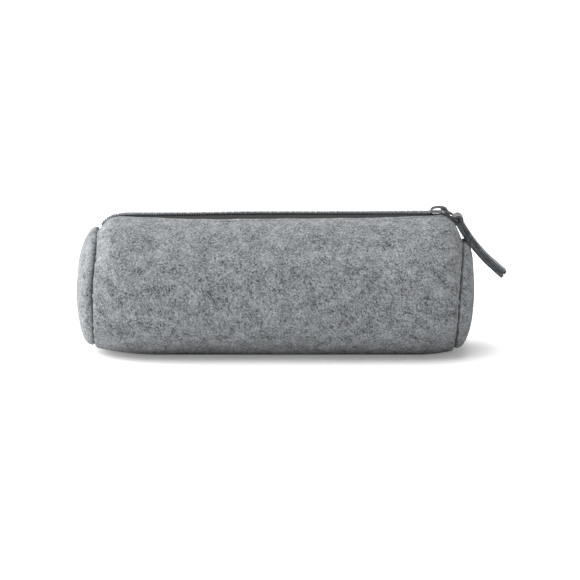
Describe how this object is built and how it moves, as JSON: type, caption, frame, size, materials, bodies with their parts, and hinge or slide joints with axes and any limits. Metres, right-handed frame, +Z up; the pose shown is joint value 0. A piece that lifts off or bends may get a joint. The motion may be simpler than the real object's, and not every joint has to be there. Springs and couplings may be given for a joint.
{
  "type": "soft zipped glasses case",
  "caption": "Soft barrel-shaped felt case for folded glasses, with a coil zip along the top, domed ends and a folded felt pull.",
  "frame": {"origin": "middle of the flat strip the case rests on", "axes": "+X along the zip towards its closed end, -Y to the front, +Z up"},
  "size_m": [0.2276, 0.0766, 0.0784],
  "materials": {
    "grey_felt": "wool felt, matt",
    "dark_felt": "wool felt, matt",
    "thread": "spun polyester thread",
    "zip_tape": "woven polyester tape",
    "zip_coil": "nylon filament, satin",
    "gunmetal": "dark plated zinc, polished"
  },
  "bodies": {
    "case": {"felt_base": "grey_felt", "left_end_disc": "grey_felt", "right_end_disc": "grey_felt", "left_seam_thread": "thread", "right_seam_thread": "thread"},
    "front_wall": {"felt_front": "grey_felt", "zip_tape_front": "zip_tape", "zip_coil_front": "zip_coil", "front_zip_thread": "thread"},
    "back_wall": {"felt_back": "grey_felt", "zip_tape_back": "zip_tape", "zip_coil_back": "zip_coil", "back_zip_thread": "thread"},
    "slider": {"zip_slider": "gunmetal"},
    "ring": {"pull_ring": "gunmetal"},
    "strap": {"pull_strap": "dark_felt"}
  },
  "joints": [
    {"name": "zip_slide", "type": "slide", "parent": "case", "child": "slider", "axis": [1, 0, 0], "range_m": [-0.16, 0], "deforming": ["zip_tape_front", "zip_tape_back", "zip_coil_front", "zip_coil_back"]},
    {"name": "front_open", "type": "hinge", "parent": "case", "child": "front_wall", "pos_m": [0, -0.0146, 0.0026], "axis": [1, 0, 0], "range_deg": [0, 14]},
    {"name": "back_open", "type": "hinge", "parent": "case", "child": "back_wall", "pos_m": [0, 0.0146, 0.0026], "axis": [-1, 0, 0], "range_deg": [0, 14]},
    {"name": "ring_flip", "type": "hinge", "parent": "slider", "child": "ring", "pos_m": [0.0879, 0, 0.07635], "axis": [0, -1, 0], "range_deg": [0, 195]},
    {"name": "strap_swing", "type": "hinge", "parent": "ring", "child": "strap", "pos_m": [0.09647, 0, 0.0712], "axis": [0, -1, 0], "range_deg": [0, 40]}
  ],
  "couplings": [
    {"joint": "front_open", "follows": "zip_slide", "rad_per_m": -1.527},
    {"joint": "back_open", "follows": "zip_slide", "rad_per_m": -1.527}
  ]
}
